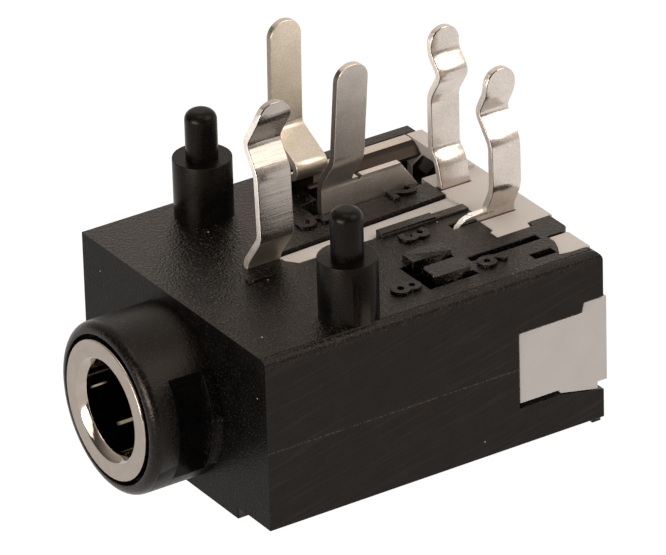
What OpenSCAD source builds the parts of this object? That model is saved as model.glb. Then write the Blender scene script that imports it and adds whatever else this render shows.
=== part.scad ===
// Board-mounted audio jack for a 3.5 mm plug.
// It stands on the pad under its housing, with the board pegs and the solder tails up.
// X runs across the jack, Y runs from the plug entry to the rear and Z runs up.
// The plug axis lies at x = 0 and the front face of the housing at y = 0.
// Heights count from the underside of the housing, which the pad lifts off the ground.

/* [Housing] */
// Width of the housing
body_w = 12.8; // [12.6:0.1:14]
// Length of the housing behind the nose
body_l = 15.05; // [14.95:0.05:17]
// Height of the housing from its underside to its top face
body_h = 7.1; // [7:0.05:8]
// Thickness of the side walls
side_wall = 0.55; // [0.4:0.05:0.65]
// Thickness of the roof over the side chambers
roof_t = 0.95; // [0.7:0.05:1.1]
// Thickness of the thick roof over the plug channel
core_t = 1.85; // [1.5:0.05:1.9]
// Half the width of the thick roof over the plug channel
core_half = 2.15; // [2.05:0.05:2.2]
// Thickness of the floor
floor_t = 1.05; // [0.8:0.05:1.25]
// Length of the solid front, up to the contact chamber
front_l = 5.4; // [5.2:0.05:5.6]
// Radius of the long right top edge
edge_r = 0.28; // [0.1:0.02:0.4]
// Radius of the top rear edge
rear_r = 0.44; // [0.2:0.02:0.5]
// Width and depth of the mould line along the right top edge
line_w = 0.07; // [0.05:0.01:0.15]
// Width of the pad under the housing
pad_w = 8.3; // [7:0.1:10]
// Height of the pad under the housing
pad_h = 0.5; // [0.4:0.05:0.8]
// Height of the small feet at the rear corners
foot_h = 0.18; // [0.1:0.02:0.3]

/* [Nose] */
// Height of the plug axis over the underside
axis_h = 3.24; // [3.15:0.01:3.35]
// Outer diameter of the nose
nose_d = 6.8; // [6.6:0.05:7]
// Length of the nose
nose_l = 3.0; // [2.6:0.1:4]
// Radius of the front lip
lip_r = 0.4; // [0.2:0.05:0.5]
// Length of the full round collar at the front
collar_l = 1.1; // [0.8:0.05:1.4]
// Distance between the two side flats
flat_w = 5.4; // [5.2:0.05:6]
// Thickness of the round flange at the root
flange_t = 0.5; // [0.3:0.05:0.7]

/* [Bushing] */
// Diameter of the bushing's head
bushing_d = 5.53; // [5.3:0.01:5.6]
// Length of the bushing's head
head_l = 1.0; // [0.8:0.05:1.1]
// Diameter of the bushing's body
bushing_body_d = 4.7; // [4.5:0.05:4.8]
// Diameter of the plug bore
plug_bore_d = 3.6; // [3.55:0.01:3.8]
// Depth of the entry chamfer
entry_chamfer = 0.28; // [0.1:0.02:0.4]
// How far the bushing stands proud of the lip
bushing_proud = 0.08; // [0:0.01:0.2]
// How far the bushing reaches behind the front face
bushing_in = 2.6; // [2.4:0.1:3]
// Width of the open ring round the front of the bushing
ring_gap = 0.18; // [0.1:0.01:0.22]
// Depth of that open ring
ring_gap_l = 0.6; // [0.3:0.05:0.9]
// Radial clearance of the pressed bushing
press_gap = 0.02; // [0.01:0.01:0.04]

/* [Board pegs] */
// Distance between the two pegs
peg_pitch = 10; // [9.6:0.1:10.2]
// Distance from the front face to the pegs
peg_y = 4.6; // [3:0.1:5]
// Diameter of the shoulders
shoulder_d = 2.3; // [1.8:0.1:2.5]
// Height of the shoulders, the gap under the board
shoulder_h = 2.4; // [2:0.1:3]
// Diameter of the locating pins
peg_d = 1.25; // [1:0.05:1.5]
// Height of the locating pins over the shoulders
peg_h = 1.95; // [1.6:0.05:3]
// Radius of the rounded pin tips
peg_tip_r = 0.38; // [0.1:0.02:0.45]

/* [Top openings] */
// Width of the centre slot left of the plug axis, at its front
slot_left = 0.55; // [0.5:0.05:0.6]
// How much the centre slot widens to the left up to the deck
slot_flare = 0.35; // [0.1:0.05:0.4]
// Width of the centre slot right of the plug axis
slot_right = 0.55; // [0.5:0.05:0.6]
// Distance from the front face to the centre slot
slot_y = 4.95; // [4.95:0.05:5.2]
// Distance from the front face to the left recess
recess_y = 7.85; // [7.6:0.05:8]
// Length of the open rear over the carrier deck
deck_l = 2.2; // [2.15:0.05:2.4]
// Left edge of the long beam on the right half
beam_x = 3.2; // [3.15:0.05:3.3]
// Width of the long beam
beam_w = 0.68; // [0.6:0.02:0.7]
// Length of the wider head at the rear of the long beam
beam_head_l = 1.0; // [0.8:0.05:1.1]
// How much wider the head of the long beam is on its left
beam_head_w = 0.35; // [0.2:0.05:0.4]
// Width of the slit between the long beam and the second beam
slit_w = 0.37; // [0.25:0.02:0.4]
// Distance from the front face to that slit
slit_y = 10.6; // [10.4:0.1:11]
// Distance from the rear end of that slit to the rear
slit_short = 1.35; // [1.2:0.05:1.5]
// Width of the second beam, up to the right wall
beam_2_w = 1.55; // [1.4:0.05:1.55]
// How far the second beam ends before the rear
beam_2_short = 1.05; // [1:0.05:1.15]
// How far its outer rear corner is drawn back
beam_2_drop = 0.43; // [0.3:0.05:0.5]
// Distance from the front face to the raised rib
rib_y = 8.9; // [8:0.1:9.2]
// Width of the raised rib
rib_w = 0.42; // [0.3:0.02:0.5]
// Height of the raised rib over the top face
rib_h = 0.16; // [0.1:0.02:0.3]
// Height of the raised pads over the top face
relief_h = 0.2; // [0.1:0.02:0.3]
// Width of the left raised pad
pad_a_w = 0.9; // [0.7:0.05:0.95]
// Width of the right raised pad
pad_b_w = 1.0; // [0.7:0.05:1]

/* [Side windows] */
// Length of the side windows
window_l = 3.85; // [3.6:0.05:4]
// Height of the window sill
window_sill = 1.55; // [1.45:0.05:1.65]
// Drop of the sill towards the rear
sill_drop = 0.45; // [0.2:0.05:0.45]
// Height of the window head
window_head = 4.75; // [4.55:0.05:4.85]
// Step of the window head at the rear
head_step = 0.4; // [0.2:0.05:0.5]

/* [Carrier] */
// Clearance between carrier and housing
carrier_gap = 0.05; // [0.03:0.01:0.08]
// Thickness of the carrier's rear wall
carrier_wall = 0.88; // [0.7:0.02:0.9]
// How far the carrier stands out of the rear
carrier_proud = 0.18; // [0:0.02:0.2]
// Depth of the carrier's tongue below the top face
tongue_drop = 0.18; // [0.1:0.02:0.3]
// Thickness of the carrier's deck
deck_t = 0.85; // [0.7:0.05:0.9]
// Half the width of the free channel between the carrier's cheeks
cheek_half = 3.05; // [2.9:0.05:3.1]
// Height of the carrier's cheeks
cheek_h = 5.15; // [4.95:0.05:5.2]

/* [Contacts] */
// Thickness of the contact strip
strip_t = 0.3; // [0.2:0.02:0.32]
// Length over which a bend in the strip is rounded
bend = 0.3; // [0.15:0.05:0.4]
// Clearance of a contact in its slot
contact_gap = 0.05; // [0.03:0.01:0.08]
// Width of the front tail
front_tail_w = 1.48; // [1.3:0.02:1.49]
// Width of the two middle tails
mid_tail_w = 1.4; // [1.2:0.05:1.5]
// Width of the two rear tails
rear_tail_w = 1.3; // [1.1:0.05:1.35]
// Distance from the front face to the front tail
front_tail_y = 3.45; // [3.4:0.01:3.46]
// Distance from the front face to the middle tails
mid_tail_y = 8.1; // [7.9:0.05:8.2]
// Length of the front tail over the board seat
front_tail_h = 4.8; // [4.6:0.1:5.5]
// Length of the middle tails over the board seat
mid_tail_h = 4.3; // [4:0.1:5.5]
// Length of the rear tails over the board seat
rear_tail_h = 4; // [3.9:0.1:5.5]
// Height of the spring arms beside the plug
arm_h = 1.6; // [1.2:0.1:1.8]
// Distance of the resting spring bumps from the plug axis
bump_x = 1.55; // [1.5:0.01:1.7]

/* [Hidden] */
$fn = 64;
// Small length by which a cut runs past a face
over = 0.5;
// Largest share of a straight run that the rounding of one corner takes
corner_share = 0.42;
half_w = body_w / 2;
nose_r = nose_d / 2;
bushing_r = bushing_d / 2;
bushing_body_r = bushing_body_d / 2;
bore_r = plug_bore_d / 2;
bushing_front = -nose_l - bushing_proud;
head_y = bushing_front + head_l;
board_h = body_h + shoulder_h;
chamber_half = half_w - side_wall;
chamber_top = body_h - roof_t;
core_bottom = body_h - core_t;
deck_y = body_l - deck_l;
slit_x = beam_x + beam_w;
beam_2_x = slit_x + slit_w;
beam_2_end = body_l - beam_2_short;
ledge_x = beam_2_x + beam_2_w;
// Small feet under the rear corners
foot_l = 0.4;
foot_inset = 0.1;
// Room round the plug behind the bushing
plug_room = 0.2;
// Front of the centre slot: how far it reaches over the axis there, and where it is full wide
slot_tip = 0.1;
slot_waist_y = slot_y + 0.35;
// Rib beside the centre slot, where the slot is narrower, and its lower rear end
rib_x = slot_right - rib_h * 1.7;
rib_step_y = deck_y - 1.5;
// Block between the two contacts of the left recess, at its distance from the left wall
block_inset = 1.3;
block_left = chamber_half - block_inset;
block_right = 3.35;
block_l = 0.8;
draft = 0.05;
// Left wall beside the recess, a little over the top face, and how far it ends before the rear
left_wall_h = 0.12;
left_wall_short = 0.25;
// Deck's front edge on the right: drawn forwards beside the tip contact, and more beside the long beam
lump_back = 0.22;
notch_w = 0.6;
notch_l = 0.4;
// Rounded rear corner of the long beam's head
beam_head_r = 0.4;
// Corner points of the second beam's rear end, from the long beam to the right wall
beam_2_knee = 0.4;
beam_2_belly = 0.17;
beam_2_corner = 0.2;
// Raised pads with a slot on the right of each and a pit before them, and a free slot in the second beam
pad_y = 8.55;
pad_a_x = 2.45;
pad_a_l = 1.85;
pad_b_x = 3.85;
pad_b_l = 1.7;
pad_slot_w = 0.35;
pad_r = 0.28;
pad_cut = 0.16;
pit_l = 0.46;
free_slot_w = 0.44;
free_slot_l = 0.95;
free_slot_inset = 0.3;
free_slot_x = ledge_x - free_slot_inset - free_slot_w;
free_slot_y = beam_2_end - beam_2_drop - free_slot_l;
// Side windows: the level part of the sill, and the step in the head with its slope
window_y = body_l - window_l;
sill_y = window_y + 1.9;
head_y1 = body_l - 0.98;
head_y2 = body_l - 0.9;
// Clip of the sleeve contact, which grips the rear of the bushing
clip_r = bushing_body_r + strip_t / 2 + press_gap;
clip_room_r = clip_r + strip_t / 2 + contact_gap;
clip_y = 1.0;
clip_l = 1.4;
clip_top = axis_h + clip_r;
clip_band = 0.6;
band_over = 0.05;
sleeve_x = -0.3;
sleeve_knee = 0.2;
clip_end = [-0.8, clip_top - 0.13];
clip_corner = [sleeve_x, clip_top - 0.02];
// Carrier faces, the ridge over the window sill, the short ledge and the step at the foot of the rear wall
carrier_rear = body_l + carrier_proud;
carrier_wall_y = carrier_rear - carrier_wall;
deck_top = body_h - carrier_gap;
deck_left = core_half + 0.45;
sill_ridge = 0.2;
ledge_short = 0.12;
foot_step = 0.25;
// Rear tails stand just before the carrier's rear wall
rear_tail_y = carrier_wall_y - contact_gap - rear_tail_w;
arm_low = axis_h - arm_h / 2;
plate_low = cheek_h + carrier_gap;
// Middle contacts, each a plate beside its wall of the left recess
ring_x = -core_half - contact_gap - strip_t / 2;
ring_switch_inset = 0.8;
ring_switch_x = -chamber_half + ring_switch_inset;
// Plate of the ring contact: its height, its start, its top and bottom rear corners and its corner radius
plate_up = 1.15;
plate_slope_l = 0.8;
plate_clear = 0.35;
crest_notch = 0.2;
plate_r = 0.6;
crest_h = body_h + plate_up;
plate_step = 0.25;
crest_y = mid_tail_y + mid_tail_w + plate_step;
plate_end_y = deck_y - plate_clear;
crest_end_y = plate_end_y - plate_slope_l;
// Shelf of the ring switch contact, level beside the wall and falling inwards, and the knee of its tail
shelf_h = body_h - 0.03;
shelf_level_l = 0.55;
shelf_fall = [0.45, 0.4];
shelf_level_x = -chamber_half + shelf_level_l;
shelf_low = [shelf_level_x + shelf_fall[0], shelf_h - shelf_fall[1]];
ring_switch_knee = 0.35;
switch_rest_l = 0.6;
// Rear contacts: their planes, the plate of the tip contact and the rows of their spring arms
tip_x = 1.5;
tip_switch_x = -1.48;
tip_front_y = rear_tail_y - 1.4;
tip_plate_h = body_h + 0.3;
tip_dip_h = body_h - 0.15;
// Curved brow of that plate, from the tail down to the slot: its start, its peak and its curve
brow_in = 0.1;
brow_l = 0.75;
brow_curve = 0.6;
tip_brow = softened([[rear_tail_y + brow_in, tip_plate_h], [rear_tail_y - brow_l, tip_plate_h],
                     [tip_front_y, tip_dip_h]], brow_curve);
tip_row = 2.3;
tip_switch_row = -2.05;
arm_start_y = rear_tail_y - 0.4;
// Spring bumps, and the run from a bump back to its arm
bump_l = 1.0;
ring_bump_y = front_l + 0.6;
tip_bump_y = front_l + 2.9;
tip_switch_bump_l = 2.3;
tip_switch_bump_y = arm_start_y - tip_switch_bump_l;
bump_end = [0.4, 0.5];
// Bends of the tails: distance from the plane of the plug axis, and height over the board seat
sleeve_bends = [[0.72, -0.85], [0.6, 1.8], [-0.1, 2.86], [0.8, 4.2], [0.84, front_tail_h]];
ring_bends = [[-1.42, 0.1], [-0.95, mid_tail_h]];
ring_switch_bends = [[ring_switch_x + 1.05, -1.55], [ring_switch_x + 1.05, -1.15],
                     [ring_switch_x - 0.66, -0.27], [ring_switch_x - 0.55, mid_tail_h]];
tip_bends = [[2, -1.15], [1.98, 0.77], [1.12, 1.83], [1.68, 2.85], [1.72, rear_tail_h - 0.22]];
tip_switch_bends = [[-1.72, -1.47], [-2.12, -1.1], [-2.12, 1.2], [-1.4, 2.3], [-2.06, 3],
                    [-2.03, rear_tail_h + 0.05]];

// Lifts a piece from the underside datum to the ground
module lifted() {
    translate([0, 0, pad_h]) children();
}

// Extrudes a drawing of the x-z plane from y0 to y1
module along_y(y0, y1) {
    translate([0, y1, 0]) rotate([90, 0, 0]) linear_extrude(y1 - y0) children();
}

// Extrudes a drawing of the y-z plane from x0 to x1
module along_x(x0, x1) {
    translate([x0, 0, 0]) rotate([90, 0, 90]) linear_extrude(x1 - x0) children();
}

// Extrudes a drawing of the x-y plane from z0 to z1
module along_z(z0, z1) {
    translate([0, 0, z0]) linear_extrude(z1 - z0) children();
}

// A box between two corners
module span(low, high) {
    translate(low) cube(high - low);
}

// A round bar on the plug axis from y0 to y1
module plug_bar(r, y0, y1) {
    translate([0, y1, axis_h]) rotate([90, 0, 0]) cylinder(r = r, h = y1 - y0);
}

// Both sides of something that is drawn on the right
module both_sides() {
    children();
    mirror([1, 0, 0]) children();
}

function arc(centre, r, a0, a1, steps = 8) =
    [for (i = [0:steps]) let (a = a0 + (a1 - a0) * i / steps) centre + r * [cos(a), sin(a)]];

function unit(v) = v / norm(v);

function left_of(v) = [-v[1], v[0]];

// Points of a path with its inner corners rounded over the length cut
function softened(path, cut, steps = 5) = concat(
    [path[0]],
    [for (k = [1:len(path) - 2])
        let (before = path[k - 1] - path[k], after = path[k + 1] - path[k])
        let (reach = min(cut, corner_share * norm(before), corner_share * norm(after)))
        let (p = path[k] + reach * unit(before), q = path[k] + reach * unit(after))
        for (i = [0:steps]) let (s = i / steps)
            (1 - s) * (1 - s) * p + 2 * s * (1 - s) * path[k] + s * s * q],
    [path[len(path) - 1]]);

function heading(path, i) =
    unit(path[min(i + 1, len(path) - 1)] - path[max(i - 1, 0)]);

// Outline of a strip of thickness t that follows a path
function strip_outline(path, t) = concat(
    [for (i = [0:len(path) - 1]) path[i] + left_of(heading(path, i)) * t / 2],
    [for (i = [len(path) - 1:-1:0]) path[i] - left_of(heading(path, i)) * t / 2]);

// A strip drawn by its bent edge
module bent_edge(path) {
    polygon(strip_outline(softened(path, bend), strip_t));
}

// Flat blank of a tail: a band with a round end
module tail_blank(y0, width, low, top) {
    translate([y0, low]) square([width, top - width / 2 - low]);
    translate([y0 + width / 2, top - width / 2]) circle(d = width);
}

// Bends given over the board seat, as heights over the underside
function over_board(bends) = [for (b = bends) [b[0], board_h + b[1]]];

// Height of the end of a list of bends
function tail_top(bends) = board_h + bends[len(bends) - 1][1];

// Housing: cross-section with the right top edge rounded and a mould line beside it
module body_section() {
    difference() {
        union() {
            translate([-half_w, 0]) square([body_w, body_h - edge_r]);
            translate([-half_w, 0]) square([body_w - edge_r, body_h]);
            translate([half_w - edge_r, body_h - edge_r]) circle(edge_r);
        }
        translate([half_w - edge_r - line_w, body_h - line_w / 2]) square([line_w, line_w]);
    }
}

// Housing: side view with the top rear edge rounded
module body_side() {
    square([body_l, body_h - rear_r]);
    square([body_l - rear_r, body_h]);
    translate([body_l - rear_r, body_h - rear_r]) circle(rear_r);
}

module body_block() {
    intersection() {
        along_y(0, body_l) body_section();
        along_x(-half_w, half_w) body_side();
    }
    span([-pad_w / 2, 0, -pad_h], [pad_w / 2, body_l, 0]);
    both_sides() span([half_w - 2 * side_wall, body_l - foot_inset - foot_l, -foot_h],
                      [half_w - foot_inset, body_l - foot_inset, over]);
    span([-half_w, recess_y, body_h - over],
         [-chamber_half, body_l - left_wall_short, body_h + left_wall_h]);
}

// Nose: a turned form with a rounded lip, cut flat on both sides behind its collar
module nose() {
    lip = min(lip_r, nose_r - bushing_r - ring_gap);
    profile = concat([[0, -over], [nose_r, -over]],
                     arc([nose_r - lip, nose_l - lip], lip, 0, 90),
                     [[0, nose_l]]);
    difference() {
        translate([0, 0, axis_h]) rotate([90, 0, 0]) rotate_extrude() polygon(profile);
        both_sides() span([flat_w / 2, -nose_l + collar_l, axis_h - nose_r],
                          [nose_r + over, -flange_t, axis_h + nose_r]);
    }
}

// Board peg: a shoulder that seats the board and a pin with a rounded tip
module board_peg() {
    pin_r = peg_d / 2;
    profile = concat([[0, -over], [shoulder_d / 2, -over], [shoulder_d / 2, shoulder_h],
                      [pin_r, shoulder_h]],
                     arc([pin_r - peg_tip_r, shoulder_h + peg_h - peg_tip_r], peg_tip_r, 0, 90),
                     [[0, shoulder_h + peg_h]]);
    translate([peg_pitch / 2, peg_y, body_h]) rotate_extrude() polygon(profile);
}

// Contact chamber behind the solid front, lower under the plug channel's thick roof
module chamber() {
    along_y(front_l, body_l + over) polygon([
        [-chamber_half, floor_t], [chamber_half, floor_t], [chamber_half, chamber_top],
        [core_half, chamber_top], [core_half, core_bottom], [-core_half, core_bottom],
        [-core_half, chamber_top], [-chamber_half, chamber_top]]);
}

// Room for the bushing and for the clip behind it
module bushing_room() {
    plug_bar(bushing_r + ring_gap, -nose_l - over, -nose_l + ring_gap_l);
    plug_bar(bushing_r + press_gap, -nose_l - over, head_y);
    plug_bar(bushing_body_r + press_gap, -nose_l - over, bushing_in);
    plug_bar(bore_r + plug_room, 0, front_l + over);
    intersection() {
        plug_bar(clip_room_r, clip_y - contact_gap, front_l + over);
        span([-half_w, 0, axis_h - bore_r], [half_w, body_l, body_h]);
    }
}

// Outline of the centre slot, drawn in by a gap on all sides but the rear
module slot_outline(gap, rear) {
    polygon([[-slot_left + gap, slot_y + gap], [slot_tip - gap, slot_y + gap],
             [slot_right - gap, slot_waist_y], [slot_right - gap, rib_y - gap],
             [rib_x - gap, rib_y - gap], [rib_x - gap, rear],
             [-slot_left - slot_flare + gap, rear], [-slot_left - slot_flare + gap, deck_y]]);
}

// Outline of the left recess, with a corner block between its two contacts
module recess_outline() {
    rear = body_l + over;
    polygon([[-core_half, recess_y], [-block_right + draft, recess_y],
             [-block_right - draft, recess_y + block_l], [-block_left + draft, recess_y + block_l],
             [-block_left - draft, recess_y], [-chamber_half, recess_y],
             [-chamber_half, rear], [-core_half, rear]]);
}

// Outline of the open rear over the carrier deck, drawn in by a gap
module deck_outline(left, gap, rear) {
    lump_y = deck_y - lump_back + gap;
    notch_y = deck_y - notch_l + gap;
    head_x = beam_x - beam_head_w - gap;
    polygon([[left, deck_y + gap], [tip_x - strip_t, deck_y + gap], [tip_x - strip_t / 2, lump_y],
             [beam_x - notch_w - draft, lump_y], [beam_x - notch_w + draft, notch_y],
             [beam_x - gap, notch_y], [beam_x - gap, body_l - beam_head_l - gap],
             [head_x, body_l - beam_head_l + 2 * draft - gap], [head_x, rear], [left, rear]]);
}

// Outline of the open rear between the second beam and the right wall, drawn in by a gap
module ledge_outline(gap, rear) {
    end_y = beam_2_end + gap;
    mid_x = (beam_2_x + beam_2_knee + ledge_x - beam_2_corner) / 2;
    polygon([[beam_2_x + gap, rear], [beam_2_x + gap, end_y], [beam_2_x + beam_2_knee, end_y],
             [mid_x, end_y - beam_2_belly], [ledge_x - beam_2_corner, end_y - beam_2_drop],
             [ledge_x - gap - beam_2_corner / 2, end_y - beam_2_drop], [ledge_x - gap, end_y],
             [ledge_x - gap, rear]]);
}

// Slots and openings in the roof
module roof_openings() {
    top = body_h + over;
    low = chamber_top - over;
    pad_a_right = pad_a_x + pad_a_w;
    pad_b_right = pad_b_x + pad_b_w;
    // Narrow slot of the front tail and the centre slot behind it
    span([sleeve_x - strip_t / 2 - contact_gap, front_tail_y - contact_gap, axis_h],
         [sleeve_x + strip_t / 2 + contact_gap, slot_y + over, top]);
    along_z(core_bottom - over, top) slot_outline(0, body_l + over);
    along_z(low, top) recess_outline();
    along_z(core_bottom - over, top) deck_outline(-core_half - over, 0, body_l + over);
    // Slot of the right rear contact
    span([tip_x - strip_t / 2 - contact_gap, tip_front_y - 2 * contact_gap, core_bottom - over],
         [tip_x + strip_t / 2 + contact_gap, deck_y + over, top]);
    // Slit between the two beams, and the open rear behind the second beam
    span([slit_x, slit_y, low], [beam_2_x, body_l - slit_short, top]);
    along_z(low, top) ledge_outline(0, body_l + over);
    // Rounded rear corner of the long beam's head
    along_z(low, top) difference() {
        translate([beam_2_x - beam_head_r, body_l - beam_head_r]) square(beam_head_r + over);
        translate([beam_2_x - beam_head_r, body_l - beam_head_r]) circle(beam_head_r);
    }
    // Slots beside the raised pads, the pit before them and the free slot in the second beam
    span([pad_a_right, pad_y - pit_l, low], [pad_b_x, pad_y + pad_b_l, top]);
    span([pad_b_right, pad_y - pit_l, low], [pad_b_right + pad_slot_w, pad_y + pad_b_l, top]);
    span([pad_a_right - over / 2, pad_y - pit_l, low], [pad_b_right + pad_slot_w, pad_y, top]);
    span([free_slot_x, free_slot_y, low], [free_slot_x + free_slot_w, free_slot_y + free_slot_l, top]);
}

// Window in the right side wall, with a step in its head and a falling sill
module side_window() {
    along_x(chamber_half - over, half_w + over) polygon([
        [window_y, window_sill], [sill_y, window_sill],
        [body_l + over, window_sill - sill_drop], [body_l + over, window_head + head_step],
        [head_y2, window_head + head_step], [head_y1, window_head],
        [window_y, window_head]]);
}

// Outline of a raised pad: a cut front corner and a round rear corner
module pad_outline(x, width, length) {
    right = x + width;
    rear = pad_y + length;
    polygon(concat([[x, pad_y + pad_cut], [x + pad_cut, pad_y], [right, pad_y]],
                   arc([right - pad_r, rear - pad_r], pad_r, 0, 90), [[x, rear]]));
}

// Raised rib beside the centre slot, lower at its rear end, and two raised pads
module relief() {
    root = body_h - over / 2;
    span([rib_x, rib_y, root], [rib_x + rib_w, rib_step_y, body_h + rib_h]);
    span([rib_x, rib_step_y - over, root], [rib_x + rib_w, deck_y, body_h + rib_h / 2]);
    along_z(root, body_h + relief_h) {
        pad_outline(pad_a_x, pad_a_w, pad_a_l);
        pad_outline(pad_b_x, pad_b_w, pad_b_l);
    }
    // Full height of the long beam's head up to the rear
    span([beam_x - beam_head_w, body_l - rear_r - over, root], [beam_2_x, body_l, body_h]);
}

module housing() {
    color([0.14, 0.13, 0.125]) lifted() difference() {
        union() {
            body_block();
            nose();
            both_sides() board_peg();
            relief();
        }
        bushing_room();
        chamber();
        roof_openings();
        both_sides() side_window();
    }
}

// Turned bushing with an entry chamfer
module front_bushing() {
    length = bushing_in - bushing_front;
    color([0.75, 0.72, 0.68]) lifted() translate([0, bushing_in, axis_h]) rotate([90, 0, 0])
        rotate_extrude() polygon([
            [bore_r, 0], [bushing_body_r, 0], [bushing_body_r, length - head_l],
            [bushing_r, length - head_l], [bushing_r, length],
            [bore_r + entry_chamfer, length], [bore_r, length - entry_chamfer]]);
}

// Carrier: the side wing that fills a window
module carrier_wing() {
    gap = carrier_gap;
    along_x(chamber_half - over, half_w - gap) polygon([
        [window_y + gap, window_sill + sill_ridge], [sill_y, window_sill + sill_ridge],
        [sill_y, window_sill + gap], [body_l - foot_step, window_sill - sill_drop + 3 * gap],
        [body_l - foot_step, window_sill], [carrier_rear, window_sill],
        [carrier_rear, window_head + head_step - gap],
        [head_y2 + gap, window_head + head_step - gap], [head_y1 + gap, window_head - gap],
        [window_y + gap, window_head - gap]]);
}

module contact_carrier() {
    gap = carrier_gap;
    inner = chamber_half - gap;
    deck_right = beam_x - beam_head_w - gap;
    color([0.86, 0.83, 0.79]) lifted() difference() {
        union() {
            // Rear wall and its lower step
            span([-inner, carrier_wall_y, window_sill], [inner, carrier_rear, chamber_top - gap]);
            span([-inner, carrier_wall_y, floor_t + gap], [inner, body_l - foot_step, window_sill + gap]);
            // Cheeks on both sides of the plug channel
            both_sides() span([cheek_half, window_y + gap, floor_t + gap], [inner, carrier_wall_y, cheek_h]);
            both_sides() carrier_wing();
            // Deck, with the rear wall's top on both sides of the long beam
            along_z(deck_top - deck_t, deck_top) deck_outline(-deck_left, gap, carrier_rear);
            span([-inner, carrier_wall_y, chamber_top - over], [deck_right, carrier_rear, deck_top]);
            along_z(chamber_top - over, deck_top) ledge_outline(gap, body_l - ledge_short);
            // Raised top of the rear wall beside the left recess
            span([-inner, carrier_wall_y, deck_top - over], [-core_half, body_l, body_h + left_wall_h]);
            // Tongue in the centre slot
            along_z(core_bottom, body_h - tongue_drop) slot_outline(gap, deck_y + over);
        }
        // Slots of the two rear contacts
        for (x = [tip_x, tip_switch_x])
            span([x - strip_t / 2 - contact_gap, deck_y - over, floor_t - over],
                 [x + strip_t / 2 + contact_gap, carrier_wall_y, body_h + over]);
    }
}

// Sleeve contact: a clip round the bushing and a kinked snap-in tail
module sleeve_contact() {
    top = tail_top(sleeve_bends);
    clip = arc([0, axis_h], clip_r, 205, 115, 12);
    tail = concat([clip_end, clip_corner, [sleeve_x, body_h + sleeve_knee]], over_board(sleeve_bends));
    color([0.78, 0.74, 0.70]) lifted() intersection() {
        along_y(clip_y, front_tail_y + front_tail_w)
            polygon(strip_outline(concat(clip, softened(tail, bend)), strip_t));
        along_x(-half_w, half_w) {
            tail_blank(front_tail_y, front_tail_w, clip_top - clip_band, top);
            translate([clip_y, 0]) square([clip_l, clip_top + band_over]);
            translate([clip_y, clip_top - clip_band])
                square([front_tail_y - clip_y + over, clip_band + band_over]);
        }
    }
}

// Ring contact: a straight tail, a plate with a sloping back end and a spring arm
module ring_contact() {
    color([0.68, 0.65, 0.62]) lifted() {
        intersection() {
            along_y(mid_tail_y, plate_end_y + over)
                bent_edge(concat([[ring_x, arm_low], [ring_x, crest_h + 2 * draft]], over_board(ring_bends)));
            along_x(-half_w, half_w) {
                tail_blank(mid_tail_y, mid_tail_w, body_h, tail_top(ring_bends));
                polygon(concat([[crest_y + crest_notch, crest_h], [crest_end_y, crest_h],
                                [plate_end_y, body_h], [plate_end_y, plate_low],
                                [crest_y, plate_low], [crest_y, arm_low], [mid_tail_y + over, arm_low]],
                               arc([mid_tail_y + plate_r, body_h + 2 * draft], plate_r, 270, 180),
                               [[mid_tail_y, crest_h], [crest_y, crest_h],
                                [crest_y + draft, crest_h - crest_notch]]));
            }
        }
        along_z(arm_low, arm_low + arm_h)
            bent_edge([[ring_x, crest_y], [ring_x, ring_bump_y + bump_l],
                       [-bump_x - strip_t / 2, ring_bump_y], -bump_end + [-bump_x, ring_bump_y]]);
    }
}

// Ring switch contact: a folded tail, a shelf that lies against the wall and a switch arm
module ring_switch_contact() {
    tail_rear = mid_tail_y + mid_tail_w;
    rest_x = ring_x - strip_t - contact_gap;
    rest_y = ring_bump_y + bump_l + switch_rest_l;
    color([0.78, 0.73, 0.64]) lifted() {
        intersection() {
            along_y(mid_tail_y, tail_rear)
                bent_edge(concat([[ring_switch_x, arm_low], [ring_switch_x, body_h + ring_switch_knee]],
                                 over_board(ring_switch_bends)));
            along_x(-half_w, half_w)
                tail_blank(mid_tail_y, mid_tail_w, arm_low, tail_top(ring_switch_bends));
        }
        along_y(tail_rear - strip_t, carrier_wall_y - contact_gap)
            bent_edge([[-chamber_half + contact_gap, shelf_h], [shelf_level_x, shelf_h], shelf_low]);
        along_z(arm_low, arm_low + arm_h)
            bent_edge([[ring_switch_x, tail_rear], [ring_switch_x, mid_tail_y],
                       [rest_x, rest_y], [rest_x, rest_y - over]]);
    }
}

// Tip contact: a kinked tail, a plate that dips forward into its slot and a spring arm
module tip_contact() {
    color([0.80, 0.76, 0.72]) lifted() {
        intersection() {
            along_y(tip_front_y, rear_tail_y + rear_tail_w)
                bent_edge(concat([[tip_x, arm_low], [tip_x, tip_plate_h]], over_board(tip_bends)));
            along_x(-half_w, half_w) {
                tail_blank(rear_tail_y, rear_tail_w, arm_low, tail_top(tip_bends));
                polygon(concat([[tip_front_y, plate_low], [rear_tail_y + over, plate_low],
                                [rear_tail_y + over, tip_plate_h]], tip_brow));
            }
        }
        along_z(arm_low, arm_low + arm_h)
            bent_edge([[tip_x, rear_tail_y + rear_tail_w], [tip_x, arm_start_y],
                       [tip_row, arm_start_y - bump_l], [tip_row, tip_bump_y + bump_l],
                       [bump_x + strip_t / 2, tip_bump_y],
                       [bump_x + bump_end[0], tip_bump_y - bump_end[1]]]);
    }
}

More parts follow.
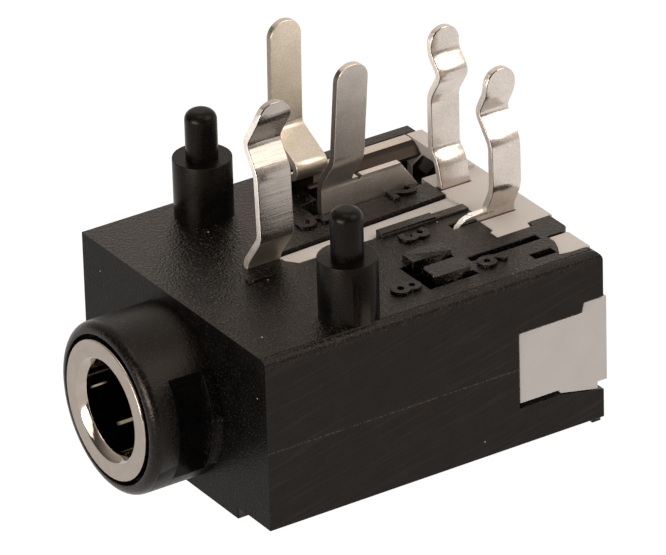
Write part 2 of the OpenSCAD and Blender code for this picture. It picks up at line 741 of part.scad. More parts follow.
// Tip switch contact: a kinked tail and a short spring arm
module tip_switch_contact() {
    color([0.80, 0.76, 0.72]) lifted() {
        intersection() {
            along_y(rear_tail_y, rear_tail_y + rear_tail_w)
                bent_edge(concat([[tip_switch_x, arm_low], [tip_switch_x, body_h]],
                                 over_board(tip_switch_bends)));
            along_x(-half_w, half_w)
                tail_blank(rear_tail_y, rear_tail_w, arm_low, tail_top(tip_switch_bends));
        }
        along_z(arm_low, arm_low + arm_h)
            bent_edge([[tip_switch_x, rear_tail_y + rear_tail_w], [tip_switch_x, arm_start_y],
                       [tip_switch_row, arm_start_y - bump_l],
                       [tip_switch_row, tip_switch_bump_y + bump_l / 2],
                       [-bump_x - strip_t / 2, tip_switch_bump_y],
                       -bump_end + [-bump_x, tip_switch_bump_y]]);
    }
}

housing();
front_bushing();
contact_carrier();
sleeve_contact();
ring_contact();
ring_switch_contact();
tip_contact();
tip_switch_contact();
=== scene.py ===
import math

import bmesh
import bpy
from mathutils import Matrix, Vector


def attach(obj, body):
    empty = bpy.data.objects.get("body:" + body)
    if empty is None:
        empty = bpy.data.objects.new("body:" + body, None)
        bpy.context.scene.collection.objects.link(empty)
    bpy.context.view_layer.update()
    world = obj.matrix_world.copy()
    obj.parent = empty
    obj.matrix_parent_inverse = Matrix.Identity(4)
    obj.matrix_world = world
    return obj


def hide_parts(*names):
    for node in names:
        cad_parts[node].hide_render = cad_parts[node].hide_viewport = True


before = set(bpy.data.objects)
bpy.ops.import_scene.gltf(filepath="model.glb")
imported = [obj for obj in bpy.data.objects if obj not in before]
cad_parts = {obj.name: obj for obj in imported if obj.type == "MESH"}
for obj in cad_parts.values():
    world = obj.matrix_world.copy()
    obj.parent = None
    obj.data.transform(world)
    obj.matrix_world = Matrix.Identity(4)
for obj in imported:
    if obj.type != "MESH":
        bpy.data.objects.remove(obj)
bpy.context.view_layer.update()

# Lengths are written in millimetres and turned to metres at the end of each mesh
MM = 0.001

# Height of the plug axis and of the top face, and half the width of the housing
AXIS_Z = 3.74
TOP_Z = 7.6
HALF_WIDTH = 6.4
# Nose: its flats, the flange behind them and the lip before them
FLAT_X = 2.7
FLANGE_L = 0.5
LIP_Y = -1.6
# Contacts: the left one's shelf, with painted shade below it, and its tail, with painted light on its right
# side; the brow of the right rear one, with a painted highlight; the foot of the front one
SHELF_TOP = 7.85
TAIL_FOOT = 10.5
BROW_TOP = 8.4
FOOT_TOP = 9.1
# Height above which only tails and pegs are left
TAILS_Z = 9.6


def linear(code):
    """Linear colour of an sRGB hex value."""
    channels = [int(code[i:i + 2], 16) / 255 for i in (0, 2, 4)]
    return [c / 12.92 if c <= 0.04045 else ((c + 0.055) / 1.055) ** 2.4 for c in channels] + [1.0]


def add(tree, kind, inputs=(), **settings):
    """Adds a node: settings are its properties, and inputs gives its sockets a value or an output."""
    node = tree.nodes.new(kind)
    for key, value in settings.items():
        setattr(node, key, value)
    for key, value in dict(inputs).items():
        if isinstance(value, bpy.types.NodeSocket):
            tree.links.new(value, node.inputs[key])
        else:
            node.inputs[key].default_value = value
    return node


def new_finish(name, **settings):
    """Starts a finish: its node tree, its shader with constants set, and the object's coordinates in mm."""
    finish = bpy.data.materials.new(name)
    finish.use_nodes = True
    tree = finish.node_tree
    shader = tree.nodes["Principled BSDF"]
    for key, value in settings.items():
        shader.inputs[key.replace("_", " ")].default_value = value
    place = add(tree, "ShaderNodeTexCoord").outputs["Object"]
    in_mm = add(tree, "ShaderNodeMapping", {"Vector": place, "Scale": (1 / MM,) * 3}).outputs[0]
    return finish, tree, shader, in_mm


# Black nylon, in millimetres: how ragged the grain's lower end is and the length over which it fades out,
# the depth at which the glints painted on its crests are full, the half width of the flash and of its core,
# and the depth of the scratches
GRAIN_RAG = 0.3
GRAIN_FADE = 0.2
FULL_GRAIN = 0.045
FLASH_HALF = 0.035
FLASH_CORE = 0.015
SCRATCH_DEPTH = 0.002
# Tilt of the scuffs in radians, and the rim of a dust speck as a share of its cell
SCUFF_TILT = -0.22
SPECK_RIM = 0.015
# How far the roughness goes up and down with the grain
GLOSS_SWING = 0.08


def moulded_black(name, specular, roughness, grain_depth, grain_floor, dust, handled=0.0):
    """Black glass-filled nylon: nearly black, with an eroded grain above a given height whose crests are
    painted paler as glints.
    """
    finish, tree, shader, in_mm = new_finish(name, Specular_IOR_Level=specular,
                                             Specular_Tint=linear("fff0e4"))
    # Eroded craters of a tenth of a millimetre
    grain = add(tree, "ShaderNodeTexNoise", {"Vector": in_mm, "Scale": 11.0, "Detail": 2.5,
                                             "Roughness": 0.6}).outputs[0]
    # Clouds of paler and darker resin, about a millimetre across
    cloud = add(tree, "ShaderNodeTexNoise", {"Vector": in_mm, "Scale": 1.1, "Detail": 4.0}).outputs[0]
    # The grain ends along a ragged line
    height = add(tree, "ShaderNodeSeparateXYZ", {0: in_mm}).outputs["Z"]
    ragged = add(tree, "ShaderNodeMath", {0: cloud, 1: GRAIN_RAG, 2: height},
                 operation="MULTIPLY_ADD").outputs[0]
    grained = add(tree, "ShaderNodeMapRange", {"Value": ragged, "From Min": grain_floor,
                                               "From Max": grain_floor + GRAIN_FADE}).outputs[0]
    mottle = add(tree, "ShaderNodeMath", {0: grain, 1: cloud}, operation="MULTIPLY").outputs[0]
    tone = add(tree, "ShaderNodeMapRange", {"Value": mottle, "From Min": 0.14, "From Max": 0.40}).outputs[0]
    resin = add(tree, "ShaderNodeMix", {0: tone, 6: linear("030303"), 7: linear("0c0b0a")},
                data_type="RGBA").outputs[2]
    # Painted glints: crests of the grain painted paler, more so the deeper the grain
    crest = add(tree, "ShaderNodeMapRange", {"Value": grain, "From Min": 0.58, "From Max": 0.78,
                                             "To Max": grained}).outputs[0]
    painted_glint = add(tree, "ShaderNodeMath", {0: crest, 1: grain_depth / FULL_GRAIN},
                operation="MULTIPLY").outputs[0]
    resin_with_painted_glints = add(tree, "ShaderNodeMix", {0: painted_glint, 6: resin, 7: linear("443d38")},
                   data_type="RGBA").outputs[2]
    # Flash of the parting line, level with the plug axis
    off_line = add(tree, "ShaderNodeMath", {0: height, 1: AXIS_Z}, operation="SUBTRACT").outputs[0]
    away = add(tree, "ShaderNodeMath", {0: off_line}, operation="ABSOLUTE").outputs[0]
    flash = add(tree, "ShaderNodeMapRange", {"Value": away, "From Min": FLASH_HALF, "From Max": FLASH_CORE,
                                             "To Max": handled}).outputs[0]
    broken = add(tree, "ShaderNodeMapRange", {"Value": grain, "From Min": 0.42, "From Max": 0.62,
                                              "To Max": flash}).outputs[0]
    flashed = add(tree, "ShaderNodeMix", {0: broken, 6: resin_with_painted_glints, 7: linear("4a443f")},
                  data_type="RGBA").outputs[2]
    # Scuffs that rise a little towards the rear, a tenth of a millimetre wide
    slanted = add(tree, "ShaderNodeMapping", {"Vector": in_mm, "Rotation": (SCUFF_TILT, 0, 0)}).outputs[0]
    drawn_out = add(tree, "ShaderNodeMapping", {"Vector": slanted, "Scale": (5.0, 0.25, 7.0)}).outputs[0]
    stroke = add(tree, "ShaderNodeTexNoise", {"Vector": drawn_out, "Scale": 1.0, "Detail": 3.0}).outputs[0]
    scuff = add(tree, "ShaderNodeMapRange", {"Value": stroke, "From Min": 0.52, "From Max": 0.85,
                                             "To Max": handled}).outputs[0]
    scuffed = add(tree, "ShaderNodeMix", {0: scuff, 6: flashed, 7: linear("231f1d")},
                  data_type="RGBA").outputs[2]
    # Dust: one speck in a few cells of over a millimetre
    cells = add(tree, "ShaderNodeTexVoronoi", {"Vector": in_mm, "Scale": 0.8}).outputs["Distance"]
    speck = add(tree, "ShaderNodeMapRange", {"Value": cells, "From Min": dust,
                                             "From Max": dust - SPECK_RIM}).outputs[0]
    dusted = add(tree, "ShaderNodeMix", {0: speck, 6: scuffed, 7: linear("a8a29c")},
                 data_type="RGBA").outputs[2]
    tree.links.new(dusted, shader.inputs["Base Color"])
    gloss = add(tree, "ShaderNodeMapRange", {"Value": grain, "From Min": 0.3, "From Max": 0.7,
                                             "To Min": roughness - GLOSS_SWING,
                                             "To Max": roughness + GLOSS_SWING}).outputs[0]
    tree.links.new(gloss, shader.inputs["Roughness"])
    # Faint scratches along the housing
    along = add(tree, "ShaderNodeMapping", {"Vector": in_mm, "Scale": (9.0, 0.5, 9.0)}).outputs[0]
    scratch = add(tree, "ShaderNodeTexNoise", {"Vector": along, "Scale": 1.0, "Detail": 2.0}).outputs[0]
    skin = add(tree, "ShaderNodeBump", {"Height": scratch, "Strength": 1.0,
                                        "Distance": SCRATCH_DEPTH * MM}).outputs[0]
    relief = add(tree, "ShaderNodeBump", {"Height": grain, "Strength": grained, "Normal": skin,
                                          "Distance": grain_depth * MM}).outputs[0]
    tree.links.new(relief, shader.inputs["Normal"])
    return finish


# Depth of the white moulding's skin in millimetres
SKIN_DEPTH = 0.006


def moulded_white(name, dark, light):
    """Off-white heat-proof polyester: matt, faintly warm, nearly even."""
    finish, tree, shader, in_mm = new_finish(name, Specular_IOR_Level=0.3, Roughness=0.55)
    # Flow of the resin, over a millimetre across
    flow = add(tree, "ShaderNodeTexNoise", {"Vector": in_mm, "Scale": 0.7, "Detail": 3.0}).outputs[0]
    tone = add(tree, "ShaderNodeMapRange", {"Value": flow, "From Min": 0.3, "From Max": 0.7}).outputs[0]
    resin = add(tree, "ShaderNodeMix", {0: tone, 6: linear(dark), 7: linear(light)},
                data_type="RGBA").outputs[2]
    tree.links.new(resin, shader.inputs["Base Color"])
    # Skin left by the mould, a tenth of a millimetre fine
    skin = add(tree, "ShaderNodeTexNoise", {"Vector": in_mm, "Scale": 9.0, "Detail": 2.0}).outputs[0]
    relief = add(tree, "ShaderNodeBump", {"Height": skin, "Strength": 1.0,
                                          "Distance": SKIN_DEPTH * MM}).outputs[0]
    tree.links.new(relief, shader.inputs["Normal"])
    return finish


# Pale, rough streaks painted in the bore as painted highlights: turn round the axis, half width in turns,
# front and rear in mm
BORE_PAINTED_STREAKS = [(0.996, 0.004, -2.66, -1.8), (0.146, 0.006, -2.0, -0.6)]
# Lengths over which a streak begins and fades out, and its roughness
STREAK_START = 0.2
STREAK_FADE = 0.3
STREAK_ROUGHNESS = 0.7


def turned_nickel(name, shade, roughness, ring_depth, painted_streaks):
    """Nickel-plated brass, turned: grey, with fine lathe rings round the plug axis and pale, rough streaks
    painted as highlights.
    """
    finish, tree, shader, in_mm = new_finish(name, Metallic=1.0, Roughness=roughness)
    on_axis = add(tree, "ShaderNodeMapping", {"Vector": in_mm, "Location": (0, 0, -AXIS_Z)}).outputs[0]
    # Tool marks every 0.05 mm on the real one, drawn at 0.12 mm so that they show
    rings = add(tree, "ShaderNodeTexWave", {"Vector": on_axis, "Scale": 2.6, "Distortion": 0.6, "Detail": 2.0,
                                            "Detail Scale": 1.5},
                wave_type="RINGS", rings_direction="Y").outputs[1]
    # Stains of half a millimetre
    stain = add(tree, "ShaderNodeTexNoise", {"Vector": in_mm, "Scale": 2.2, "Detail": 4.0}).outputs[0]
    tone = add(tree, "ShaderNodeMapRange", {"Value": stain, "From Min": 0.3, "From Max": 0.7, "To Min": 0.92,
                                            "To Max": 1.04}).outputs[0]
    plate = add(tree, "ShaderNodeVectorMath", {0: linear(shade)[:3], "Scale": tone},
                operation="SCALE").outputs[0]
    round_axis = add(tree, "ShaderNodeMapping", {"Vector": on_axis,
                                                 "Rotation": (-math.pi / 2, 0, 0)}).outputs[0]
    turn = add(tree, "ShaderNodeTexGradient", {"Vector": round_axis}, gradient_type="RADIAL").outputs[1]
    depth = add(tree, "ShaderNodeSeparateXYZ", {0: in_mm}).outputs["Y"]
    dull = roughness
    # Each painted streak is a paler, rougher band that stands in for a highlight in the bore
    for where, half_width, start, end in painted_streaks:
        band = add(tree, "ShaderNodeMath", {0: turn, 1: where, 2: half_width}, operation="COMPARE").outputs[0]
        begun = add(tree, "ShaderNodeMapRange", {"Value": depth, "From Min": start,
                                                 "From Max": start + STREAK_START,
                                                 "To Max": band}).outputs[0]
        fade = add(tree, "ShaderNodeMapRange", {"Value": depth, "From Min": end,
                                                "From Max": end - STREAK_FADE,
                                                "To Max": begun}).outputs[0]
        plate = add(tree, "ShaderNodeMix", {0: fade, 6: plate, 7: linear("f4ead8")},
                    data_type="RGBA").outputs[2]
        dull = add(tree, "ShaderNodeMapRange", {"Value": fade, "To Min": dull,
                                                "To Max": STREAK_ROUGHNESS}).outputs[0]
    tree.links.new(plate, shader.inputs["Base Color"])
    if painted_streaks:
        tree.links.new(dull, shader.inputs["Roughness"])
    relief = add(tree, "ShaderNodeBump", {"Height": rings, "Strength": 1.0,
                                          "Distance": ring_depth * MM}).outputs[0]
    tree.links.new(relief, shader.inputs["Normal"])
    return finish


# Depth of the rolling lines in millimetres, and how far the roughness goes up and down with the crystals
LINE_DEPTH = 0.0006
TIN_SWING = 0.05


def rolled_strip(name, shade, roughness, speckle_depth, ripple_depth):
    """Tin-plated bronze strip, rolled and stamped: satin with faint rolling lines, speckle and ripples."""
    finish, tree, shader, in_mm = new_finish(name, Metallic=1.0)
    # Rolling lines run up the strip, 0.04 mm apart on the real one and drawn at 0.08 mm
    along = add(tree, "ShaderNodeMapping", {"Vector": in_mm, "Scale": (12.0, 12.0, 0.7)}).outputs[0]
    lines = add(tree, "ShaderNodeTexNoise", {"Vector": along, "Scale": 1.0, "Detail": 2.0}).outputs[0]
    # Clouds in the tin, nearly a millimetre across
    cloud = add(tree, "ShaderNodeTexNoise", {"Vector": in_mm, "Scale": 1.2, "Detail": 1.0}).outputs[0]
    tone = add(tree, "ShaderNodeMapRange", {"Value": cloud, "From Min": 0.3, "From Max": 0.7, "To Min": 0.94,
                                            "To Max": 1.05}).outputs[0]
    # Tin crystals, 0.03 mm on the real one and drawn at 0.07 mm
    speckle = add(tree, "ShaderNodeTexNoise", {"Vector": in_mm, "Scale": 14.0, "Detail": 2.0}).outputs[0]
    crystals = add(tree, "ShaderNodeMapRange", {"Value": speckle, "From Min": 0.3, "From Max": 0.7,
                                                "To Min": 0.88, "To Max": 1.1}).outputs[0]
    mottled = add(tree, "ShaderNodeMath", {0: tone, 1: crystals}, operation="MULTIPLY").outputs[0]
    plate = add(tree, "ShaderNodeVectorMath", {0: linear(shade)[:3], "Scale": mottled},
                operation="SCALE").outputs[0]
    tree.links.new(plate, shader.inputs["Base Color"])
    gloss = add(tree, "ShaderNodeMapRange", {"Value": speckle, "From Min": 0.3, "From Max": 0.7,
                                             "To Min": roughness - TIN_SWING,
                                             "To Max": roughness + TIN_SWING}).outputs[0]
    tree.links.new(gloss, shader.inputs["Roughness"])
    # Ripples lie across the strip, a tenth of a millimetre apart
    across = add(tree, "ShaderNodeMapping", {"Vector": in_mm, "Scale": (0.6, 0.6, 9.0)}).outputs[0]
    ripple = add(tree, "ShaderNodeTexNoise", {"Vector": across, "Scale": 1.0, "Detail": 1.0}).outputs[0]
    fine = add(tree, "ShaderNodeBump", {"Height": lines, "Strength": 1.0,
                                        "Distance": LINE_DEPTH * MM}).outputs[0]
    grainy = add(tree, "ShaderNodeBump", {"Height": speckle, "Strength": 1.0, "Normal": fine,
                                          "Distance": speckle_depth * MM}).outputs[0]
    wavy = add(tree, "ShaderNodeBump", {"Height": ripple, "Strength": 1.0, "Normal": grainy,
                                        "Distance": ripple_depth * MM}).outputs[0]
    tree.links.new(wavy, shader.inputs["Normal"])
    return finish


# Part of a normal along an axis from which a face counts as square to it, as facing it, as cut across it
# and as slanted to it
SQUARE = 0.95
FACING = 0.9
CROSSWISE = 0.7
SLANTED = 0.3
# Such parts for the lip, the underside of the nose, a burr with its painted shadow line, the slanted foot and
# the brow with its painted highlight
LIP_TILT = -0.12
UNDER_TILT = -0.4
BURR_SHADOW_TILT = (-0.8, -0.25)
FOOT_TILT = (0.5, -0.1)
BROW_TILT = 0.2
# Distances in millimetres within which a face counts as lying at a place
NEAR = 0.1
CLOSE = 0.05
# Width of the worn edge, height of the pegs' feet, depth of the front's skin and inset of the carrier's wings
EDGE_BAND = 0.06
PEG_FOOT = 0.3
FRONT_SKIN = 0.02
WING_INSET = 0.2


def housing_zone(face):
    """Zone of a housing face: 0 top, 1 side wall, 2 peg, 3 nose flat, 4 front, 5 nose, 6 lip, 7 worn edge."""
    spot = face.calc_center_median()
    sideways = abs(face.normal.x) > SQUARE
    slanted = sorted(abs(part) for part in face.normal)[1] > SLANTED
    if spot.z > TOP_Z + PEG_FOOT:
        return 2
    at_rim = abs(spot.x) > HALF_WIDTH - NEAR or spot.z > TOP_Z - NEAR
    if slanted and at_rim and abs(spot.y) < EDGE_BAND:
        return 7
    if spot.y < LIP_Y and face.normal.y < LIP_TILT:
        return 6
    if sideways and abs(spot.x) < FLAT_X + CLOSE and spot.y < -FLANGE_L:
        return 3
    if spot.y < FRONT_SKIN and spot.z < TOP_Z - NEAR:
        return 5 if spot.y < -FLANGE_L and face.normal.z > UNDER_TILT else 4
    return 1 if sideways and abs(spot.x) > HALF_WIDTH - CLOSE else 0


def carrier_zone(face):
    """Zone of a carrier face: 0 in general, 1 a side wing, painted darker as shade."""
    outside = abs(face.calc_center_median().x) > HALF_WIDTH - WING_INSET
    return 1 if outside and abs(face.normal.x) > SQUARE else 0


def strip_zone(face):
    """Zone of a contact face: 0 rolled, 1 a sheared edge, 2 the burr where the two meet, which takes a
    painted dark shadow line, and on the ring contact a painted highlight.
    """
    if face.normal.x > SLANTED and BURR_SHADOW_TILT[0] < face.normal.y < BURR_SHADOW_TILT[1]:
        return 2
    return 1 if abs(face.normal.y) > CROSSWISE else 0


def shelf_zone(face):
    """Zone of the contact with a shelf: 0 rolled, 1 recess faces painted dark as shade, 2 the tail's right
    side painted near white as light, 3 the front edge painted darker as shade.
    """
    height = face.calc_center_median().z
    if face.normal.y < -CROSSWISE:
        return 3
    if height < SHELF_TOP and face.normal.x > SLANTED:
        return 1
    return 2 if height > TAIL_FOOT and face.normal.x > FACING else 0


def foot_zone(face):
    """Zone of the contact with a slanted foot: 0 rolled, 1 a sheared edge, 2 its burr with a painted shadow
    line, 3 the dull foot.
    """
    outwards = face.normal.x > FOOT_TILT[0] and face.normal.z < FOOT_TILT[1]
    return 3 if outwards and face.calc_center_median().z < FOOT_TOP else strip_zone(face)


def brow_zone(face):
    """Zone of the contact with a brow: 0 rolled, 1 a sheared edge, 2 its burr with a painted shadow line, 3
    the brow's upper faces painted near white as a highlight.
    """
    upwards = face.normal.z > BROW_TILT
    return 3 if upwards and face.calc_center_median().z < BROW_TOP else strip_zone(face)


def bushing_zone(face):
    """Zone of a bushing face: 0 the flat ring at the front, 1 the polished chamfer, bore and outside."""
    return 0 if face.normal.y < -FACING else 1


# Mending of a CAD mesh: the lengths in millimetres at which corners are welded and slivers are dissolved,
# and the angles under which faces are joined, over which an edge is rounded and over which one is sharp
WELD = 0.002
SLIVER = 0.0002
FLAT_ANGLE = math.radians(0.3)
OUTER_ANGLE = math.radians(35)
SHARP_ANGLE = math.radians(40)


def new_piece(name, shape, finishes):
    """Turns a shape in millimetres into an object of the scene with the given finishes."""
    bmesh.ops.scale(shape, vec=(MM,) * 3, verts=shape.verts)
    mesh = bpy.data.meshes.new(name)
    shape.to_mesh(mesh)
    shape.free()
    for finish in finishes:
        mesh.materials.append(finish)
    piece = bpy.data.objects.new(name, mesh)
    bpy.context.scene.collection.objects.link(piece)
    return piece


def roomy(edge, room):
    """Tells whether an edge can be rounded without a fold: one of a tail, or long with long neighbours."""
    if min(corner.co.z for corner in edge.verts) > TAILS_Z:
        return True
    return all(other.calc_length() > room for corner in edge.verts for other in corner.link_edges)


def dressed(name, node, rounding, room, finishes, zone):
    """Copies a CAD node, welds it, rounds outer edges that have room and lets the copy stand for the node."""
    shape = bmesh.new()
    shape.from_mesh(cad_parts[node].data)
    bmesh.ops.scale(shape, vec=(1 / MM,) * 3, verts=shape.verts)
    bmesh.ops.remove_doubles(shape, verts=shape.verts, dist=WELD)
    bmesh.ops.dissolve_limit(shape, angle_limit=FLAT_ANGLE, verts=shape.verts, edges=shape.edges)
    outer = [e for e in shape.edges if e.calc_face_angle_signed(0) > OUTER_ANGLE and roomy(e, room)]
    bmesh.ops.bevel(shape, geom=outer, offset=rounding, offset_type="OFFSET", segments=2, profile=0.5,
                    affect="EDGES", clamp_overlap=False, material=-1)
    bmesh.ops.dissolve_degenerate(shape, dist=SLIVER, edges=shape.edges)
    for face in shape.faces:
        face.smooth = True
        face.material_index = zone(face)
    piece = new_piece(name, shape, finishes)
    piece.data.set_sharp_from_angle(angle=SHARP_ANGLE)
    even = piece.modifiers.new("even_shading", "WEIGHTED_NORMAL")
    even.keep_sharp = True
    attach(piece, "root")
    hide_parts(node)


# Finishes of the housing, with grain everywhere, nowhere or above a height
ALL_GRAIN = -99.0
NO_GRAIN = 99.0
grained = moulded_black("black_nylon_eroded_grain", 0.2, 0.17, 0.045, ALL_GRAIN, 0.035)
side = moulded_black("black_nylon_side_wall", 0.17, 0.3, 0.04, TOP_Z - 0.35, 0.03, 0.7)
peg_skin = moulded_black("black_nylon_peg", 0.11, 0.3, 0.0, NO_GRAIN, 0.0)
polished = moulded_black("black_nylon_polished", 0.15, 0.16, 0.0, NO_GRAIN, 0.0)
front = moulded_black("black_nylon_front", 0.05, 0.36, 0.02, ALL_GRAIN, 0.035)
nose = moulded_black("black_nylon_nose", 0.17, 0.36, 0.02, ALL_GRAIN, 0.0)
lip = moulded_black("black_nylon_lip", 0.17, 0.25, 0.014, ALL_GRAIN, 0.0)
# The worn edge's deeper grain also gives it stronger painted glints
worn = moulded_black("black_nylon_worn_edge", 0.5, 0.3, 0.06, ALL_GRAIN, 0.0)
# Finishes of the carrier and the bushing
white = moulded_white("white_polyester_moulded", "b0aba7", "b5b0ac")
# A darker copy of the white for the side wings, as painted shade
white_wing_painted_shade = moulded_white("white_polyester_wing_painted_shade", "9e9b99", "a3a09e")
nickel = turned_nickel("nickel_plated_brass_turned", "9c9389", 0.34, 0.003, [])
bright_nickel = turned_nickel("nickel_plated_brass_polished_painted_streaks", "a89f96", 0.1, 0.001, BORE_PAINTED_STREAKS)
# Finishes of the contacts
tinned = rolled_strip("tin_plated_bronze", "cdc5bd", 0.22, 0.0, 0.0)
# The front contact's tin, with ripples, painted darker than the other contacts' as painted shade for the
# black it reflects
tinned_rippled_painted_dark = rolled_strip("tin_plated_bronze_rippled_painted_dark", "b2aba4", 0.28, 0.0014, 0.007)
tinned_warm = rolled_strip("tin_plated_bronze_warm", "c4bbae", 0.34, 0.0026, 0.0)
# A near-white copy of the tin, as painted light on the side of the left contact's tail that faces the light
tail_painted_light = rolled_strip("tin_plated_bronze_tail_painted_light", "f8efdd", 0.36, 0.0004, 0.0)
tinned_grey = rolled_strip("tin_plated_bronze_grey", "cfc8c0", 0.4, 0.0022, 0.0)
sheared = rolled_strip("bronze_sheared_edge", "eae5df", 0.5, 0.002, 0.0)
# Near black along the burr, as a painted shadow line
burr_painted_shadow = rolled_strip("bronze_burr_painted_shadow", "241f1b", 0.45, 0.0, 0.0)
dull = rolled_strip("tin_plated_bronze_dull", "aaa298", 0.5, 0.003, 0.0)
# A near-white copy of the tin, as a painted highlight on the brow's upper faces
brow_painted_highlight = rolled_strip("tin_plated_bronze_brow_painted_highlight", "fbf7f2", 0.2, 0.0, 0.0)
# Darker copies of the bronze as painted shade: in the recess under the left contact's shelf, and on its front
# edge
recess_painted_shade = rolled_strip("bronze_recess_painted_shade", "302a25", 0.4, 0.0006, 0.0)
edge_painted_shade = rolled_strip("bronze_edge_painted_shade", "8e8578", 0.45, 0.001, 0.0)
# The ring contact's sheared edges, darker than the other contacts'
ring_edge_dark = rolled_strip("bronze_ring_edge_dark", "6a6057", 0.45, 0.004, 0.0)

# Pieces that stand for the CAD nodes
dressed("moulded_housing", "housing", 0.03, 0.12, [grained, side, peg_skin, polished, front, nose, lip, worn],
        housing_zone)
dressed("turned_bushing", "front_bushing", 0.05, 0.12, [nickel, bright_nickel], bushing_zone)
dressed("moulded_carrier", "contact_carrier", 0.025, 0.1, [white, white_wing_painted_shade],
        carrier_zone)
dressed("sleeve_strip", "sleeve_contact", 0.035, 0.03, [tinned_rippled_painted_dark, sheared, burr_painted_shadow, dull],
        foot_zone)
# The ring contact's burr takes the pale sheared finish as a painted highlight
dressed("ring_strip", "ring_contact", 0.035, 0.1, [tinned_grey, ring_edge_dark, sheared],
        strip_zone)
dressed("ring_switch_strip", "ring_switch_contact", 0.035, 0.06,
        [tinned_warm, recess_painted_shade, tail_painted_light, edge_painted_shade], shelf_zone)
dressed("tip_strip", "tip_contact", 0.035, 0.08, [tinned, sheared, burr_painted_shadow, brow_painted_highlight], brow_zone)
dressed("tip_switch_strip", "tip_switch_contact", 0.035, 0.0, [tinned, sheared, burr_painted_shadow],
        strip_zone)

# Terminal numbers moulded on the top face: each digit with the x and y of its centre
DIGITS = [("1", 0.77, 3.45), ("5", -1.84, 7.4), ("2", -1.93, 11.6), ("3", 1.38, 9.95), ("8", 4.66, 7.36),
          ("6", 4.72, 11.2)]
# Height of a digit, the share of the font's size that it takes up, and how far it stands up
DIGIT_H = 1.15
DIGIT_SHARE = 0.7
DIGIT_RISE = 0.1
# Rounding of a digit's edge, how much its strokes are thickened, and the steps of its curves
DIGIT_EDGE = 0.02
DIGIT_SWELL = 0.03
DIGIT_STEPS = 5
# Length at which the corners of the digits are welded
DIGIT_WELD = 0.001


def digit_mesh(digit):
    """Mesh of one raised digit."""
    line = bpy.data.curves.new("digit", "FONT")
    line.body = digit
    line.size = DIGIT_H / DIGIT_SHARE
    line.resolution_u = DIGIT_STEPS
    line.extrude = DIGIT_RISE
    line.bevel_depth = DIGIT_EDGE
    line.offset = DIGIT_SWELL
    text = bpy.data.objects.new("digit", line)
    bpy.context.scene.collection.objects.link(text)
    bpy.context.view_layer.update()
    mesh = bpy.data.meshes.new_from_object(text)
    bpy.data.objects.remove(text)
    return mesh


def moulded_digits():
    """Raises the terminal numbers off the top face, in one piece."""
    shape = bmesh.new()
    for digit, x, y in DIGITS:
        mesh = digit_mesh(digit)
        low = [min(v.co[i] for v in mesh.vertices) for i in range(2)]
        high = [max(v.co[i] for v in mesh.vertices) for i in range(2)]
        middle = Vector(((low[0] + high[0]) / 2, (low[1] + high[1]) / 2, 0))
        mesh.transform(Matrix.Translation(Vector((x, y, TOP_Z)) - middle))
        shape.from_mesh(mesh)
        bpy.data.meshes.remove(mesh)
    bmesh.ops.remove_doubles(shape, verts=shape.verts, dist=DIGIT_WELD)
    piece = new_piece("moulded_digits", shape, [grained])
    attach(piece, "root")


moulded_digits()

# Black block in the rear corner of the left recess, standing in for its shade: lowest and highest corner, its
# top's fall and its edge rounding
SHADE_BLOCK = ((-4.72, 13.85, 5.9), (-3.72, 14.37, 7.3))
SHADE_BLOCK_FALL = 0.35
SHADE_BLOCK_EDGE = 0.08


def recess_shade_block():
    """Puts a black block against the carrier in the left recess, as painted shade where the recess is dark.
    """
    shape = bmesh.new()
    bmesh.ops.create_cube(shape, size=1.0)
    low, high = Vector(SHADE_BLOCK[0]), Vector(SHADE_BLOCK[1])
    bmesh.ops.scale(shape, vec=high - low, verts=shape.verts)
    bmesh.ops.translate(shape, vec=(low + high) / 2, verts=shape.verts)
    top_front = [v for v in shape.verts if v.co.z > low.z + NEAR and v.co.y < low.y + NEAR]
    bmesh.ops.translate(shape, vec=(0, 0, -SHADE_BLOCK_FALL), verts=top_front)
    bmesh.ops.bevel(shape, geom=shape.edges[:], offset=SHADE_BLOCK_EDGE, offset_type="OFFSET", segments=3,
                    profile=0.5, affect="EDGES", clamp_overlap=True, material=-1)
    for face in shape.faces:
        face.smooth = True
    piece = new_piece("recess_shade_block", shape, [polished])
    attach(piece, "root")


recess_shade_block()

# Light: a warm room with a white rear wall and ceiling, soft boxes behind the right side and
# overhead, and one at the front over a bright strip
LIGHT = Vector((1.0, 0.91, 0.83))
WALL = Vector((-0.3, 0.75, 0.6))
# The room's light away from the wall and towards it
DIM = 0.12
BRIGHT = 1.0
# Distance of every soft box from the jack, in metres
BOX_DISTANCE = 0.35


def studio_room():
    """Lights the room most from the way to its white wall."""
    room = bpy.data.worlds.new("studio_room")
    room.use_nodes = True
    tree = room.node_tree
    sky = tree.nodes["Background"]
    way = add(tree, "ShaderNodeTexCoord").outputs["Generated"]
    facing = add(tree, "ShaderNodeVectorMath", {0: way, 1: WALL}, operation="DOT_PRODUCT").outputs["Value"]
    glow = add(tree, "ShaderNodeMapRange", {"Value": facing, "From Min": -0.3, "From Max": 0.7,
                                            "To Min": DIM, "To Max": BRIGHT},
               interpolation_type="SMOOTHSTEP").outputs[0]
    sky.inputs["Color"].default_value = (*LIGHT, 1)
    tree.links.new(glow, sky.inputs["Strength"])
    bpy.context.scene.world = room


def soft_box(name, towards, width, height, radiance):
    """Sets a lit panel that faces the jack: its direction, its size in metres and its radiance."""
    lamp = bpy.data.lights.new(name, "AREA")
    lamp.shape = "RECTANGLE"
    lamp.size = width
    lamp.size_y = height
    lamp.color = LIGHT
    lamp.energy = math.pi * radiance * width * height
    panel = bpy.data.objects.new(name, lamp)
    aim = Vector(towards).normalized()
    facing = aim.to_track_quat("Z", "Y").to_matrix().to_4x4()
    panel.matrix_world = Matrix.Translation(BOX_DISTANCE * aim) @ facing
    bpy.context.scene.collection.objects.link(panel)


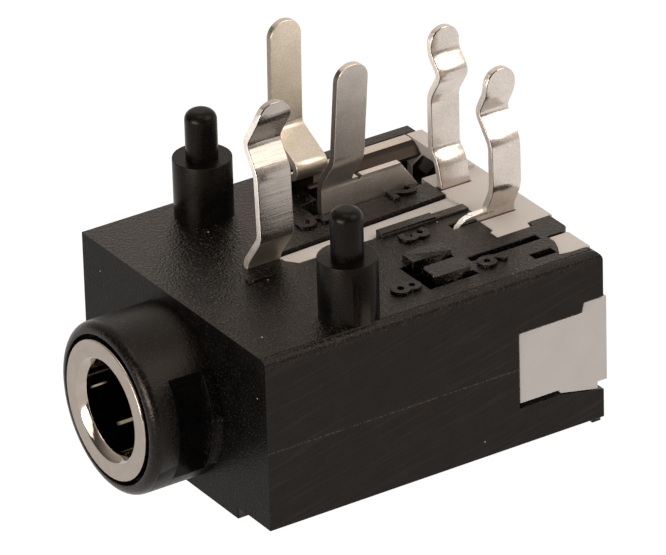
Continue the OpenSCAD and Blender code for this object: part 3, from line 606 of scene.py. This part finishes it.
studio_room()
soft_box("rear_box", (0.52, 0.47, 0.72), 0.2, 0.22, 3.2)
soft_box("top_box", (0.05, -0.1, 1.0), 0.17, 0.17, 2.0)
soft_box("front_box", (0.25, -0.92, 0.28), 0.28, 0.2, 3.5)
soft_box("front_strip", (0.28, -0.94, 0.14), 0.24, 0.07, 18.0)
bpy.context.scene.view_settings.view_transform = "Standard"

# Floor: half its width in metres, how far it lies under the jack in millimetres, and its light
FLOOR_HALF = 2.0
FLOOR_DROP = 0.02
FLOOR_GLOW = (1.06, 1.02, 1.0, 1)


def light_table():
    """Lays a white sheet, lit from below, under the jack."""
    sheet = new_finish("opal_acrylic_light_table", Base_Color=(0.02, 0.02, 0.02, 1), Roughness=0.8,
                       Specular_IOR_Level=0.0, Emission_Color=FLOOR_GLOW, Emission_Strength=1.0)[0]
    ground = bmesh.new()
    bmesh.ops.create_grid(ground, x_segments=1, y_segments=1, size=FLOOR_HALF / MM)
    bmesh.ops.translate(ground, vec=(0, 0, -FLOOR_DROP), verts=ground.verts)
    floor = new_piece("floor", ground, [sheet])


light_table()

# Camera: azimuth, elevation and roll, its offsets in millimetres, the width of its picture and its focal
# length in pixels, and the width of its sensor in millimetres
AZIMUTH = math.radians(57.583)
ELEVATION = math.radians(27.817)
ROLL = math.radians(-1.67)
OFFSET = Vector((5.813, 6.924, 281.616))
LIFT = 0.55
VIEW_WIDTH = 666
FOCAL_LENGTH = 7500
SENSOR = 36


def main_camera():
    """Sets the camera that looks down on the nose and the right side."""
    back = Vector((math.sin(AZIMUTH) * math.cos(ELEVATION), -math.cos(AZIMUTH) * math.cos(ELEVATION),
                   math.sin(ELEVATION)))
    level = Vector((math.cos(AZIMUTH), math.sin(AZIMUTH), 0))
    rise = back.cross(level)
    right = math.cos(ROLL) * level + math.sin(ROLL) * rise
    up = math.cos(ROLL) * rise - math.sin(ROLL) * level
    lens = bpy.data.cameras.new("camera")
    lens.sensor_width = SENSOR
    lens.lens = FOCAL_LENGTH / VIEW_WIDTH * SENSOR
    lens.clip_start = 0.01
    camera = bpy.data.objects.new("camera", lens)
    turn = Matrix((right, up, back)).transposed().to_4x4()
    spot = MM * (OFFSET.x * right + OFFSET.y * up + OFFSET.z * back + Vector((0, 0, LIFT)))
    camera.matrix_world = Matrix.Translation(spot) @ turn
    bpy.context.scene.collection.objects.link(camera)
    bpy.context.scene.camera = camera


main_camera()
